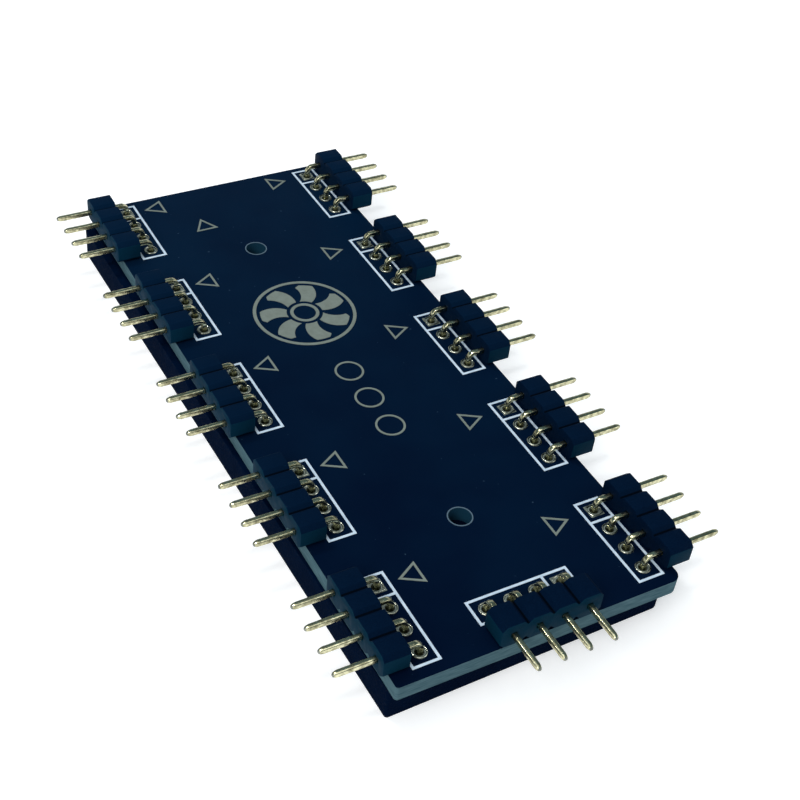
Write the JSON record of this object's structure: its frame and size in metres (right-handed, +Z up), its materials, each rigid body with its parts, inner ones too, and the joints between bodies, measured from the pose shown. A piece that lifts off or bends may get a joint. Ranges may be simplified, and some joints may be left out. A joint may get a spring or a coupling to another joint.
{
  "type": "rgb fan hub",
  "caption": "Flat hub board on a foam pad with rows of right-angle pin headers along both long edges and one header across the front.",
  "frame": {"origin": "on the pad's lower face, under the centre of the board's outline", "axes": "+X towards the right header row, +Y towards the back, away from the front header, +Z up, out of the printed face"},
  "size_m": [0.039, 0.0772, 0.0076],
  "materials": {
    "board": "blue-black solder mask with a soft gloss, pale grey sawn edges",
    "foam_pad": "matt closed-cell foam",
    "gold_plating": "thin gold plating, satin",
    "solder": null,
    "white_print": "matt white ink",
    "housing": "moulded nylon, satin black",
    "pin": "gold-plated wire, bright"
  },
  "bodies": {
    "root": {"board": "board", "foam_pad": "foam_pad", "gold_plating": "gold_plating", "solder_joints": "solder", "white_print": "white_print", "left_header_1": "housing", "left_header_2": "housing", "left_header_3": "housing", "left_header_4": "housing", "left_header_5": "housing", "right_header_1": "housing", "right_header_2": "housing", "right_header_3": "housing", "right_header_4": "housing", "right_header_5": "housing", "front_header": "housing", "left_header_1_pin_1": "pin", "left_header_1_pin_2": "pin", "left_header_1_pin_3": "pin", "left_header_1_pin_4": "pin", "left_header_2_pin_1": "pin", "left_header_2_pin_2": "pin", "left_header_2_pin_3": "pin", "left_header_2_pin_4": "pin", "left_header_3_pin_1": "pin", "left_header_3_pin_2": "pin", "left_header_3_pin_3": "pin", "left_header_3_pin_4": "pin", "left_header_4_pin_1": "pin", "left_header_4_pin_2": "pin", "left_header_4_pin_3": "pin", "left_header_4_pin_4": "pin", "left_header_5_pin_1": "pin", "left_header_5_pin_2": "pin", "left_header_5_pin_3": "pin", "left_header_5_pin_4": "pin", "right_header_1_pin_1": "pin", "right_header_1_pin_2": "pin", "right_header_1_pin_3": "pin", "right_header_1_pin_4": "pin", "right_header_2_pin_1": "pin", "right_header_2_pin_2": "pin", "right_header_2_pin_3": "pin", "right_header_2_pin_4": "pin", "right_header_3_pin_1": "pin", "right_header_3_pin_2": "pin", "right_header_3_pin_3": "pin", "right_header_3_pin_4": "pin", "right_header_4_pin_1": "pin", "right_header_4_pin_2": "pin", "right_header_4_pin_3": "pin", "right_header_4_pin_4": "pin", "right_header_5_pin_1": "pin", "right_header_5_pin_2": "pin", "right_header_5_pin_3": "pin", "right_header_5_pin_4": "pin", "front_header_pin_1": "pin", "front_header_pin_2": "pin", "front_header_pin_3": "pin", "front_header_pin_4": "pin"}
  },
  "joints": []
}
